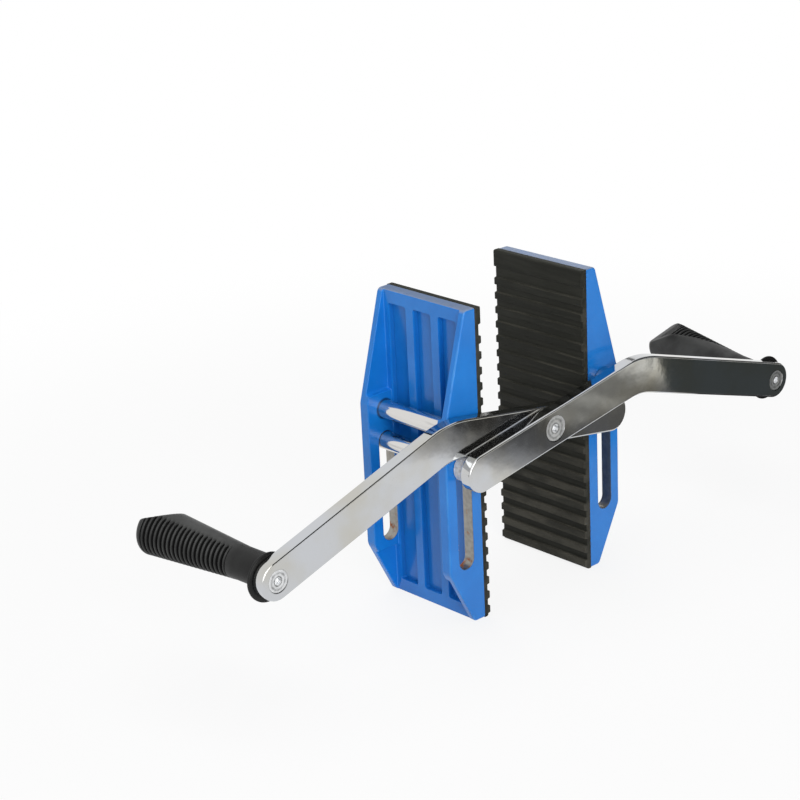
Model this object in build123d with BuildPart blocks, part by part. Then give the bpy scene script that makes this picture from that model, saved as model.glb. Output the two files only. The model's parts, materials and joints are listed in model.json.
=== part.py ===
"""Hand-carried stone clamp: two parallel jaws drawn together by lifting two crossed arms.

Millimetres, +Z up. X runs across the clamp, -Y is the front, where the arms are.
The origin is on the floor under the middle of the clamp, which is modelled fully open.
"""

import os
from math import asin, cos, degrees, radians, sin, sqrt

from build123d import *

os.makedirs("parts", exist_ok=True)

# Jaw casting
jaw_height = 240.0
jaw_width = 90.0
plate_thick = 9.0
cheek_depth = 33.0
cheek_thick = 5.5
boss_thick = 9.0
boss_margin = 6.0
toe_depth = 10.0
toe_round = 4.0
cheek_round = 10.0
rim_round = 1.5
inner_round = 0.8
pocket_round = 0.8
ledge_round = 1.0
ledge_root = 2.2

# Sunk panels on the back of the jaw plate
panel_count = 3
panel_rib = 7.5
panel_edge = 1.0
panel_band = 10.0
panel_depth = 4.2
panel_draft = 8.0
panel_round = 2.0

# Rubber pads
pad_base = 3.8
pad_rib_count = 19
pad_rib_height = 2.2
pad_rib_width = 6.0
pad_rib_draft = 10.0
pad_foot = 5.0
pad_head = 13.0

# Arms
arm_width = 28.4
arm_thick = 10.0
arm_edge = 1.4
pivot_height = 137.5
link_radius = 75.5
elbow_reach = 96.3
elbow_round = 60.0
handle_reach = 170.7
handle_angle = 17.3
close_travel = 31.0

# Rods, collars and what holds the jaws on the rods
rod_radius = 7.0
rod_seat = 6.0
rod_chamfer = 0.8
rod_tail = 3.0
plate_gap = 0.5
collar_radius = 10.0
collar_gap = 0.38
washer_radius = 12.0
washer_thick = 2.0
ring_width = 2.8
ring_thick = 1.2
ring_groove = 0.4
ring_lug = 2.2
ring_gap = 2.4
ring_eye = 0.9

# Pivot
bolt_radius = 5.0
bolt_head_radius = 9.5
bolt_socket = 6.0
bolt_socket_depth = 4.0
nut_flats = 17.0
nut_thick = 5.0
nut_room = 0.4
pivot_washer_radius = 13.0

# Grips
grip_length = 118.0
flange_radius = 17.6
flange_thick = 2.2
flange_round = 0.8
neck_radius = 12.1
neck_length = 26.3
grip_end_radius = 18.7
grip_end_round = 5.0
grip_inset = 5.0
grip_flare = 13.2
grip_rise = 5.0
bevel_angle = 23.5
bevel_turn = 15.0
bevel_offset = 6.8
groove_count = 17
groove_width = 2.2
groove_depth = 1.4
groove_shift = 0.9
left_groove_turn = 30.0
right_groove_turn = -20.0
groove_margin = 3.5
spindle_radius = 6.0
spindle_length = 100.0
screw_radius = 4.0
screw_head_radius = 8.0
screw_socket = 5.0
screw_socket_depth = 3.0
screw_length = 30.0

# Fits
running_gap = 0.05
seat_fit = 0.02
slot_gap = 0.3
layer_gap = 0.5
play = 0.1
head_sunk = 0.3
screw_chamfer = 0.6

# Linkage, fully open: the collar of one arm then all but meets the edge of the other arm.
open_angle = degrees(asin((arm_width / 2 + collar_radius + collar_gap) / link_radius)) / 2
rod_x = link_radius * cos(radians(open_angle))
rod_rise = link_radius * sin(radians(open_angle))
upper_z = pivot_height + rod_rise
lower_z = pivot_height - rod_rise
closed_lower_z = upper_z - 2 * link_radius * sin(radians(open_angle + close_travel))
elbow_x = elbow_reach * cos(radians(open_angle))
elbow_z = pivot_height + elbow_reach * sin(radians(open_angle))
grip_x = elbow_x + handle_reach * cos(radians(handle_angle))
grip_z = elbow_z - handle_reach * sin(radians(handle_angle))

# Layers from the front face of the right arm to the end of the left grip
right_arm_front = -(2 * arm_thick + layer_gap + grip_length) / 2
right_arm_back = right_arm_front + arm_thick
left_arm_front = right_arm_back + layer_gap
left_arm_back = left_arm_front + arm_thick
jaw_near = left_arm_back + layer_gap
jaw_middle = jaw_near + jaw_width / 2
jaw_far = jaw_near + jaw_width
washer_near = jaw_far + play
ring_near = washer_near + washer_thick + play
upper_rod_end = ring_near + ring_thick + play + rod_tail
lower_rod_end = jaw_far + rod_tail

# Jaw places: the plate's outer face just clears the rods.
jaw_x = rod_x - rod_radius - plate_gap - plate_thick
slot_low = closed_lower_z - rod_radius - slot_gap
boss_low = slot_low - boss_margin
boss_high = upper_z + rod_radius + boss_margin
pad_rib_pitch = (jaw_height - pad_head - pad_foot) / pad_rib_count
pad_rib_middle = pad_foot + (pad_rib_count - 1) * pad_rib_pitch / 2
panel_width = (jaw_width - 2 * (boss_thick + panel_edge) - (panel_count - 1) * panel_rib) / panel_count


def front_plane(y, x=0.0, z=0.0):
    """Upright sketch plane at depth y, looking to the front, with its origin at x and z."""
    return Plane((x, y, z), x_dir=(1, 0, 0), z_dir=(0, -1, 0))


# Right jaw: a tapered block, hollowed from behind into a plate and two cheeks.
with BuildPart() as right_jaw:
    with BuildSketch(front_plane(jaw_near)):
        with BuildLine():
            Polyline(
                (jaw_x, 0),
                (jaw_x + toe_depth, 0),
                (jaw_x + cheek_depth, slot_low),
                (jaw_x + cheek_depth, upper_z + rod_radius),
                (jaw_x + toe_depth, jaw_height),
                (jaw_x, jaw_height),
                close=True,
            )
        make_face()
        fillet(vertices().group_by(Axis.X)[-1], cheek_round)
        fillet(vertices().group_by(Axis.X)[1], toe_round)
    extrude(amount=-jaw_width)
    cheek_edges = edges().filter_by(lambda edge: edge.center().X > jaw_x + rim_round)
    fillet(cheek_edges.group_by(Axis.Y)[0] + cheek_edges.group_by(Axis.Y)[-1], rim_round)
    with BuildSketch(Plane.YZ.offset(jaw_x + plate_thick)):
        with Locations((jaw_middle, jaw_height / 2)):
            Rectangle(jaw_width - 2 * cheek_thick, jaw_height)
        with Locations((jaw_middle, (boss_low + boss_high) / 2)):
            Rectangle(jaw_width, boss_high - boss_low, mode=Mode.SUBTRACT)
            Rectangle(jaw_width - 2 * boss_thick, boss_high - boss_low)
        steps = vertices().filter_by_position(Axis.Y, boss_low - play, boss_high + play)
        fillet(steps.group_by(Axis.X)[0] + steps.group_by(Axis.X)[-1], ledge_root)
        steps = vertices().filter_by_position(Axis.Y, boss_low - play, boss_high + play)
        inner = jaw_width / 2 - boss_thick + play
        fillet(steps.filter_by_position(Axis.X, jaw_middle - inner, jaw_middle + inner), ledge_round)
    extrude(amount=cheek_depth, mode=Mode.SUBTRACT)
    floor_x = jaw_x + plate_thick
    floor_edges = edges().filter_by_position(Axis.X, floor_x - play, floor_x + play)
    fillet(floor_edges.filter_by_position(Axis.Z, toe_depth, jaw_height - toe_depth), pocket_round)
    rims = edges().filter_by_position(Axis.X, floor_x + pocket_round + play, jaw_x + cheek_depth)
    rims = rims.filter_by(Axis.X, reverse=True)
    near_rim = rims.filter_by_position(Axis.Y, jaw_near + cheek_thick - play, jaw_near + boss_thick + play)
    far_rim = rims.filter_by_position(Axis.Y, jaw_far - boss_thick - play, jaw_far - cheek_thick + play)
    fillet(near_rim + far_rim, inner_round)
    with BuildSketch(Plane.YZ.offset(jaw_x + plate_thick)):
        with Locations((jaw_middle, jaw_height / 2)):
            with GridLocations(panel_width + panel_rib, 0, panel_count, 1):
                RectangleRounded(panel_width, jaw_height - 2 * panel_band, panel_round)
    extrude(amount=-panel_depth, taper=panel_draft, mode=Mode.SUBTRACT)
    with BuildSketch(front_plane(jaw_near)):
        with Locations((rod_x, upper_z)):
            Circle(rod_radius + running_gap)
        with Locations((rod_x, (lower_z + closed_lower_z) / 2)):
            SlotCenterToCenter(lower_z - closed_lower_z, 2 * (rod_radius + slot_gap), rotation=90)
    extrude(amount=-jaw_width, mode=Mode.SUBTRACT)

with BuildPart() as left_jaw:
    mirror(right_jaw.part, about=Plane.YZ)

# Right pad: a rubber sheet on the plate's inner face, with level ribs and a plain band at the top.
with BuildPart() as right_pad:
    with BuildSketch(Plane.YZ.offset(jaw_x)):
        with Locations((jaw_middle, jaw_height / 2)):
            Rectangle(jaw_width, jaw_height)
    extrude(amount=-pad_base)
    with BuildSketch(front_plane(jaw_near, jaw_x - pad_base - pad_rib_height / 2, pad_rib_middle)):
        with GridLocations(0, pad_rib_pitch, 1, pad_rib_count):
            Trapezoid(pad_rib_width, pad_rib_height, 90 - pad_rib_draft, rotation=90)
        with Locations((0, jaw_height - pad_head / 2 - pad_rib_middle)):
            Rectangle(pad_rib_height, pad_head)
    extrude(amount=-jaw_width)

with BuildPart() as left_pad:
    mirror(right_pad.part, about=Plane.YZ)


def bare_arm(side, back):
    """Bent flat bar with its rod seats and grip screw hole; side is 1 for the right arm."""
    front = back - arm_thick
    with BuildPart() as arm:
        with BuildSketch(front_plane(back)):
            with BuildLine():
                FilletPolyline(
                    (-side * rod_x, lower_z),
                    (side * elbow_x, elbow_z),
                    (side * grip_x, grip_z),
                    radius=elbow_round,
                )
                offset(amount=arm_width / 2)
            make_face()
        extrude(amount=arm_thick)
        fillet(edges().group_by(Axis.Y)[0] + edges().group_by(Axis.Y)[-1], arm_edge)
        with BuildSketch(front_plane(back)):
            with Locations((-side * rod_x, lower_z), (side * rod_x, upper_z)):
                Circle(rod_radius + seat_fit)
        extrude(amount=rod_seat, mode=Mode.SUBTRACT)
        with Locations(front_plane(front, side * grip_x, grip_z)):
            CounterSinkHole(
                screw_radius + seat_fit,
                screw_head_radius + head_sunk + seat_fit,
                counter_sink_angle=90,
            )
    return arm


# Right arm: the front layer, countersunk for the pivot bolt.
with BuildPart() as right_arm:
    add(bare_arm(1, right_arm_back).part)
    with Locations(front_plane(right_arm_front, 0, pivot_height)):
        CounterSinkHole(
            bolt_radius + seat_fit,
            bolt_head_radius + head_sunk + seat_fit,
            counter_sink_angle=90,
        )

# Left arm: the layer next to the jaws, bored for the bolt and sunk at the back for its nut.
with BuildPart() as left_arm:
    add(bare_arm(-1, left_arm_back).part)
    with Locations(Plane((0, left_arm_back, pivot_height), x_dir=(1, 0, 0), z_dir=(0, 1, 0))):
        CounterBoreHole(
            bolt_radius + running_gap,
            nut_flats / sqrt(3) + nut_room,
            nut_thick + head_sunk + play,
        )


def rod(x, z, back, end, groove=None):
    """Round bar from its seat in an arm to its far end, grooved at one depth where one is given."""
    with BuildPart() as bar:
        with BuildSketch(front_plane(back - rod_seat, x, z)):
            Circle(rod_radius)
        extrude(amount=-(end - back + rod_seat))
        chamfer(edges().group_by(Axis.Y)[-1], rod_chamfer)
        if groove is not None:
            with BuildSketch(front_plane(groove, x, z)):
                Circle(2 * rod_radius)
                Circle(rod_radius - ring_groove, mode=Mode.SUBTRACT)
            extrude(amount=-(ring_thick + play), mode=Mode.SUBTRACT)
    return bar


# Rods: seated in the backs of the arms; the upper ones are grooved for a retaining ring.
left_upper_rod = rod(-rod_x, upper_z, left_arm_back, upper_rod_end, ring_near - play / 2)
right_upper_rod = rod(rod_x, upper_z, right_arm_back, upper_rod_end, ring_near - play / 2)
left_lower_rod = rod(-rod_x, lower_z, right_arm_back, lower_rod_end)
right_lower_rod = rod(rod_x, lower_z, left_arm_back, lower_rod_end)


def spacer(x, z, near, length, bore, rim):
    """Plain ring round an axis along Y."""
    with BuildPart() as ring:
        with BuildSketch(front_plane(near, x, z)):
            Circle(rim)
            Circle(bore, mode=Mode.SUBTRACT)
        extrude(amount=-length)
    return ring


# Collars fill the left arm's layer where a rod of the right arm passes it.
collar_length = left_arm_back - right_arm_back
collar_bore = rod_radius + seat_fit
left_collar = spacer(-rod_x, lower_z, right_arm_back, collar_length, collar_bore, collar_radius)
right_collar = spacer(rod_x, upper_z, right_arm_back, collar_length, collar_bore, collar_radius)

# Washers on the upper rods behind the far cheeks, and between the two arms.
washer_bore = rod_radius + slot_gap
left_washer = spacer(-rod_x, upper_z, washer_near, washer_thick, washer_bore, washer_radius)
right_washer = spacer(rod_x, upper_z, washer_near, washer_thick, washer_bore, washer_radius)
pivot_washer = spacer(
    0, pivot_height, right_arm_back, layer_gap, bolt_radius + running_gap, pivot_washer_radius
)


def retaining_ring(x):
    """Open spring ring with two eyed lugs, in the groove of an upper rod."""
    seat = rod_radius - ring_groove + seat_fit
    lug_centre = seat + ring_lug
    lug_turn = degrees(asin((ring_gap / 2 + ring_lug) / lug_centre))
    with BuildPart() as ring:
        with BuildSketch(front_plane(ring_near, x, upper_z)):
            Circle(seat + ring_width)
            with PolarLocations(lug_centre, 2, 90 - lug_turn, 2 * lug_turn, endpoint=True):
                Circle(ring_lug)
                Circle(ring_eye, mode=Mode.SUBTRACT)
            Circle(seat, mode=Mode.SUBTRACT)
            Rectangle(ring_gap, 2 * lug_centre, align=(Align.CENTER, Align.MIN), mode=Mode.SUBTRACT)
        extrude(amount=-ring_thick)
    return ring


left_ring = retaining_ring(-rod_x)
right_ring = retaining_ring(rod_x)


def countersunk(x, z, front, radius, head_radius, length, socket, socket_depth):
    """Countersunk screw along Y with a hexagon socket, its head just below the front face."""
    top = front + head_sunk
    with BuildPart() as screw:
        with BuildSketch(Plane.XY.offset(z)):
            with BuildLine():
                Polyline(
                    (x, top),
                    (x + head_radius, top),
                    (x + radius, top + head_radius - radius),
                    (x + radius, top + length - screw_chamfer),
                    (x + radius - screw_chamfer, top + length),
                    (x, top + length),
                    close=True,
                )
            make_face()
        revolve(axis=Axis((x, 0, z), (0, 1, 0)))
        with BuildSketch(front_plane(top, x, z)):
            RegularPolygon(socket / 2, 6, major_radius=False)
        extrude(amount=-socket_depth, mode=Mode.SUBTRACT)
    return screw


# Pivot: a bolt through both arms, with a thin nut sunk in the back of the left arm.
pivot_bolt = countersunk(
    0,
    pivot_height,
    right_arm_front,
    bolt_radius,
    bolt_head_radius,
    left_arm_back - right_arm_front - 2 * head_sunk,
    bolt_socket,
    bolt_socket_depth,
)

with BuildPart() as pivot_nut:
    with BuildSketch(front_plane(left_arm_back - head_sunk, 0, pivot_height)):
        RegularPolygon(nut_flats / 2, 6, major_radius=False)
        Circle(bolt_radius + seat_fit, mode=Mode.SUBTRACT)
    extrude(amount=nut_thick)

left_grip_screw = countersunk(
    -grip_x,
    grip_z,
    left_arm_front,
    screw_radius,
    screw_head_radius,
    screw_length,
    screw_socket,
    screw_socket_depth,
)
right_grip_screw = countersunk(
    grip_x,
    grip_z,
    right_arm_front,
    screw_radius,
    screw_head_radius,
    screw_length,
    screw_socket,
    screw_socket_depth,
)


def spindle(x, back):
    """Steel core of a grip, tapped at the arm's end for the grip screw."""
    with BuildPart() as core:
        with BuildSketch(front_plane(back, x, grip_z)):
            Circle(spindle_radius)
        extrude(amount=-spindle_length)
        with BuildSketch(front_plane(back, x, grip_z)):
            Circle(screw_radius + seat_fit)
        extrude(amount=-screw_length, mode=Mode.SUBTRACT)
    return core


left_spindle = spindle(-grip_x, left_arm_back)
right_spindle = spindle(grip_x, right_arm_back)


def grip(side, back, groove_turn):
    """Rubber sleeve on a leaning axis: flange, neck and flared body, grooved outside, bevelled on top."""
    foot = Vector(side * (grip_x - grip_inset), back, grip_z)
    overhang = (grip_end_radius - grip_end_round) * sqrt(grip_flare**2 + grip_rise**2) / grip_length
    tip = foot + Vector(side * grip_flare, grip_length - overhang, grip_rise)
    lean = (tip - foot).normalized()
    length = (tip - foot).length
    body_start = flange_thick + neck_length
    slope = (grip_end_radius - neck_radius) / (length - body_start)
    pitch = (length - body_start - 2 * groove_margin) / groove_count
    outer = Vector(side * cos(radians(groove_turn)), 0, -sin(radians(groove_turn)))
    groove_foot = foot - outer * groove_shift
    bevel_side = Vector(-side * sin(radians(bevel_turn)), 0, cos(radians(bevel_turn)))
    bevel_facing = bevel_side * cos(radians(bevel_angle)) + Vector(0, sin(radians(bevel_angle)), 0)
    with BuildPart() as sleeve:
        with BuildSketch(front_plane(back, side * grip_x, grip_z)):
            Circle(flange_radius)
        extrude(amount=-flange_thick)
        fillet(edges(), flange_round)
        with BuildSketch(Plane(foot, x_dir=lean, z_dir=lean.cross(outer))):
            with BuildLine():
                Polyline(
                    (flange_thick / 2, 0),
                    (flange_thick / 2, neck_radius),
                    (body_start, neck_radius),
                    (length, grip_end_radius),
                    (length, 0),
                    close=True,
                )
            make_face()
            fillet(vertices().group_by(Axis.Y)[-1], grip_end_round)
        revolve(axis=Axis(foot, lean))
        with BuildSketch(Plane(groove_foot, x_dir=lean, z_dir=lean.cross(outer))):
            for index in range(groove_count):
                run = groove_margin + (index + 0.5) * pitch
                floor = neck_radius + slope * run + groove_shift - groove_depth
                with Locations((body_start + run, floor)):
                    Rectangle(groove_width, flange_radius, align=(Align.CENTER, Align.MIN))
        revolve(axis=Axis(groove_foot, lean), mode=Mode.SUBTRACT)
        with BuildSketch(Plane(tip + bevel_side * bevel_offset, z_dir=bevel_facing)):
            Circle(2 * flange_radius)
        extrude(amount=2 * flange_radius, mode=Mode.SUBTRACT)
        with BuildSketch(front_plane(back, side * grip_x, grip_z)):
            Circle(spindle_radius + seat_fit)
        extrude(amount=-spindle_length, mode=Mode.SUBTRACT)
    return sleeve


left_grip = grip(-1, left_arm_back, left_groove_turn)
right_grip = grip(1, right_arm_back, right_groove_turn)

pieces = {
    "left_jaw": left_jaw,
    "right_jaw": right_jaw,
    "left_pad": left_pad,
    "right_pad": right_pad,
    "left_arm": left_arm,
    "right_arm": right_arm,
    "left_upper_rod": left_upper_rod,
    "right_upper_rod": right_upper_rod,
    "left_lower_rod": left_lower_rod,
    "right_lower_rod": right_lower_rod,
    "left_collar": left_collar,
    "right_collar": right_collar,
    "left_washer": left_washer,
    "right_washer": right_washer,
    "left_ring": left_ring,
    "right_ring": right_ring,
    "pivot_washer": pivot_washer,
    "pivot_bolt": pivot_bolt,
    "pivot_nut": pivot_nut,
    "left_grip_screw": left_grip_screw,
    "right_grip_screw": right_grip_screw,
    "left_spindle": left_spindle,
    "right_spindle": right_spindle,
    "left_grip": left_grip,
    "right_grip": right_grip,
}
for label, piece in pieces.items():
    piece.part.label = label
    export_step(piece.part, f"parts/{label}.step")
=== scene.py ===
"""Looks of the hand-carried stone clamp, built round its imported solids.

Metres, +Z up. X runs across the clamp and -Y is the front, where the arms are.
"""

import json
import logging
from collections.abc import Callable
from dataclasses import dataclass
from enum import Enum
from math import atan2, cos, pi, radians, sin
from typing import Any, Union

import bmesh
import bpy
import numpy as np
from mathutils import Matrix, Vector


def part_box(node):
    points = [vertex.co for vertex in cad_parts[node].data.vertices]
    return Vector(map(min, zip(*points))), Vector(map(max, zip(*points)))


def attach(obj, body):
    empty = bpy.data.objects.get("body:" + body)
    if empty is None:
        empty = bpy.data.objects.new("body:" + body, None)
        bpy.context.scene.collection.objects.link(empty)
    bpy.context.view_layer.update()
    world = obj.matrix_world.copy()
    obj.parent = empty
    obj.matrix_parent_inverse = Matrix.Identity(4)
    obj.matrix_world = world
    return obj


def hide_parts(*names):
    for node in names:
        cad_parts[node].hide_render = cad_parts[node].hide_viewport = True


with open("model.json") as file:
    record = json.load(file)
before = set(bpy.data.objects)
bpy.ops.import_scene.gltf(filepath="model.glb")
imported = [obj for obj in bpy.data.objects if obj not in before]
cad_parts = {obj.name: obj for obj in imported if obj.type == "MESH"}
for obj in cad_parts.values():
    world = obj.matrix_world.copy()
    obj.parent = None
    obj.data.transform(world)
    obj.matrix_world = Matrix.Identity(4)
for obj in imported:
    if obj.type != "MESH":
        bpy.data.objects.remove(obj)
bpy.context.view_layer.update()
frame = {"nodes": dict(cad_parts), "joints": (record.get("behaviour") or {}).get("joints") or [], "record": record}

log = logging.getLogger("stone_clamp")

MM = 0.001
JAW_HALF_WIDTH = 45.0 * MM
BOSS_THICK = 9.0 * MM
SLOT_ROOM = 0.3 * MM
ELBOW_REACH = 96.3 * MM
BOLT_HEAD_RADIUS = 9.5 * MM
SCREW_HEAD_RADIUS = 8.0 * MM
SAME_POINT = 1e-7
NO_LENGTH = 1e-8
PURE_WHITE = (1.0, 1.0, 1.0, 1.0)
Colour = tuple[float, float, float]
Place = tuple[float, float, float]
Amount = Union["Signal", float]


class Side(Enum):
    """The two mirrored halves of the clamp; the value is the sign of X."""

    LEFT = -1
    RIGHT = 1

    @property
    def word(self) -> str:
        """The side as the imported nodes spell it."""
        return self.name.lower()


def pairing(operation: str, flipped: bool = False) -> Callable[["Signal", Amount], "Signal"]:
    """Makes the method for one operator on two terms.

    Args:
        operation: what the Math node does.
        flipped: whether the other term comes first.

    Returns:
        The method.
    """

    def pair(self: "Signal", other: Amount) -> "Signal":
        """One Math node on self and the other term."""
        return self.math(operation, *((other, self) if flipped else (self, other)))

    return pair


class Signal:
    """A shader socket that takes part in Python arithmetic through Math nodes."""

    def __init__(self, graph: "Graph", socket: bpy.types.NodeSocket) -> None:
        """Keeps the socket and the graph that it belongs to."""
        self.graph = graph
        self.socket = socket

    def math(self, operation: str, *terms: Amount) -> "Signal":
        """One Math node on the given terms."""
        return self.graph.node("ShaderNodeMath", {"operation": operation}, dict(enumerate(terms)))

    __add__ = pairing("ADD")
    __radd__ = pairing("ADD", flipped=True)
    __sub__ = pairing("SUBTRACT")
    __rsub__ = pairing("SUBTRACT", flipped=True)
    __mul__ = pairing("MULTIPLY")
    __rmul__ = pairing("MULTIPLY", flipped=True)
    __truediv__ = pairing("DIVIDE")
    __pow__ = pairing("POWER")
    least = pairing("MINIMUM")
    most = pairing("MAXIMUM")

    def __abs__(self) -> "Signal":
        """Size of self."""
        return self.math("ABSOLUTE", self)

    def rise(self, low: float, high: float, start: float = 0.0, end: float = 1.0) -> "Signal":
        """Smooth step of self.

        Args:
            low: value of self at which the step begins.
            high: value of self at which it ends.
            start: result up to low.
            end: result from high on.

        Returns:
            The stepped signal.
        """
        settings = {"interpolation_type": "SMOOTHSTEP"}
        sockets = {0: self, 1: low, 2: high, 3: start, 4: end}
        return self.graph.node("ShaderNodeMapRange", settings, sockets)

    def fall(self, low: float, high: float) -> "Signal":
        """Smooth step of self from 1 at low down to 0 at high."""
        return self.rise(low, high, 1.0, 0.0)


class Graph:
    """Node tree of one material or of the world, written as expressions."""

    def __init__(self, tree: bpy.types.NodeTree) -> None:
        """Empties the tree and keeps it."""
        self.tree = tree
        tree.nodes.clear()

    def node(
        self,
        kind: str,
        settings: dict[str, Any] | None = None,
        sockets: dict[Any, Any] | None = None,
        output: Any = 0,
    ) -> Signal:
        """Adds one node.

        Args:
            kind: Blender's type name of the node.
            settings: properties, set before the sockets.
            sockets: values or signals by input index, identifier or name.
            output: index or name of the output that is handed back.

        Returns:
            The chosen output as a signal.
        """
        made = self.tree.nodes.new(kind)
        for name, value in (settings or {}).items():
            setattr(made, name, value)
        for key, value in (sockets or {}).items():
            entry = self.pick(made.inputs, key)
            if isinstance(value, Signal):
                self.tree.links.new(value.socket, entry)
            else:
                entry.default_value = value
        return Signal(self, self.pick(made.outputs, output)) if made.outputs else None

    @staticmethod
    def pick(sockets: Any, key: Any) -> bpy.types.NodeSocket:
        """The socket with that index, identifier or name."""
        named = (socket for socket in sockets if key in (socket.identifier, socket.name))
        return sockets[key] if isinstance(key, int) else next(named)

    def point(self) -> Signal:
        """Place on the piece, in the shared frame."""
        return self.node("ShaderNodeTexCoord", output="Object")

    def split(self, vector: Signal) -> tuple[Signal, Signal, Signal]:
        """The three parts of a vector."""
        first = self.node("ShaderNodeSeparateXYZ", sockets={0: vector})
        return tuple(Signal(self, socket) for socket in first.socket.node.outputs)

    def join(self, x: Amount, y: Amount, z: Amount) -> Signal:
        """A vector from its three parts."""
        return self.node("ShaderNodeCombineXYZ", sockets={0: x, 1: y, 2: z})

    def mark(self, name: str) -> Signal:
        """A number kept with every point of the piece."""
        return self.node("ShaderNodeAttribute", {"attribute_name": name}, output="Fac")

    def facing(self) -> tuple[Signal, Signal, Signal]:
        """The three parts of the surface's outward direction."""
        return self.split(self.node("ShaderNodeNewGeometry", output="Normal"))

    def noise(self, at: Signal, scale: float, detail: float = 3.0, rough: float = 0.5) -> Signal:
        """Cloudy noise from 0 to 1, with scale cells a metre."""
        sockets = {"Vector": at, "Scale": scale, "Detail": detail, "Roughness": rough}
        return self.node("ShaderNodeTexNoise", sockets=sockets)

    def stretched(self, at: Signal, turn: float, along: float, across: float) -> Signal:
        """Noise drawn out along one direction of the XZ plane.

        Args:
            at: place on the piece.
            turn: angle of that direction above +X, in radians.
            along: cells a metre along it.
            across: cells a metre across it.

        Returns:
            Noise from 0 to 1.
        """
        sockets = {"Vector": at, "Rotation": (0.0, -turn, 0.0)}
        turned = self.node("ShaderNodeMapping", {"vector_type": "TEXTURE"}, sockets)
        x, y, z = self.split(turned)
        return self.noise(self.join(x * along, y * across, z * across), 1.0, 4.0, 0.6)

    def mix(self, share: Amount, first: Any, second: Any) -> Signal:
        """Mixes two colours.

        Args:
            share: 0 for first to 1 for second.
            first: a colour or a signal.
            second: a colour or a signal.

        Returns:
            The mixed colour.
        """
        colours = [c if isinstance(c, Signal) else (*c, 1.0) for c in (first, second)]
        sockets = {"Factor_Float": share, "A_Color": colours[0], "B_Color": colours[1]}
        return self.node("ShaderNodeMix", {"data_type": "RGBA"}, sockets, "Result_Color")

    def bump(
        self, height: Signal, distance: float, strength: float = 1.0, base: Signal | None = None
    ) -> Signal:
        """Tilts the normal by a height.

        Args:
            height: height from 0 to 1.
            distance: what a height of 1 stands for, in metres.
            strength: share of the tilt.
            base: normal of a bump below, if there is one.

        Returns:
            The tilted normal.
        """
        sockets = {"Height": height, "Distance": distance, "Strength": strength}
        if base is not None:
            sockets["Normal"] = base
        return self.node("ShaderNodeBump", sockets=sockets)

    def shaded(self, **sockets: Any) -> Signal:
        """A Principled shader with the given inputs, spelt with underscores for spaces."""
        named = {key.replace("_", " "): value for key, value in sockets.items()}
        return self.node("ShaderNodeBsdfPrincipled", sockets=named)

    def blend(self, share: Signal, first: Signal, second: Signal) -> Signal:
        """Shader between first, at share 0, and second, at share 1."""
        return self.node("ShaderNodeMixShader", sockets={0: share, 1: first, 2: second})

    def close(self, surface: Signal, kind: str = "ShaderNodeOutputMaterial") -> None:
        """Ends the tree with its output node."""
        self.node(kind, sockets={"Surface": surface})


def total(signals: list[Signal]) -> Signal:
    """Sum of several signals."""
    return sum(signals[1:], signals[0])


def new_material(name: str) -> tuple[bpy.types.Material, Graph]:
    """Adds an empty node material.

    Args:
        name: name of the finish.

    Returns:
        The material and its graph.
    """
    material = bpy.data.materials.new(name)
    material.use_nodes = True
    return material, Graph(material.node_tree)


@dataclass(frozen=True)
class SlotPlace:
    """Where a jaw's slots and holes are: slots round the upright line at x, from low to high."""

    x: float
    low: float
    high: float
    hole: float
    radius: float
    middle: float
    cheek: float
    top: float


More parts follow.
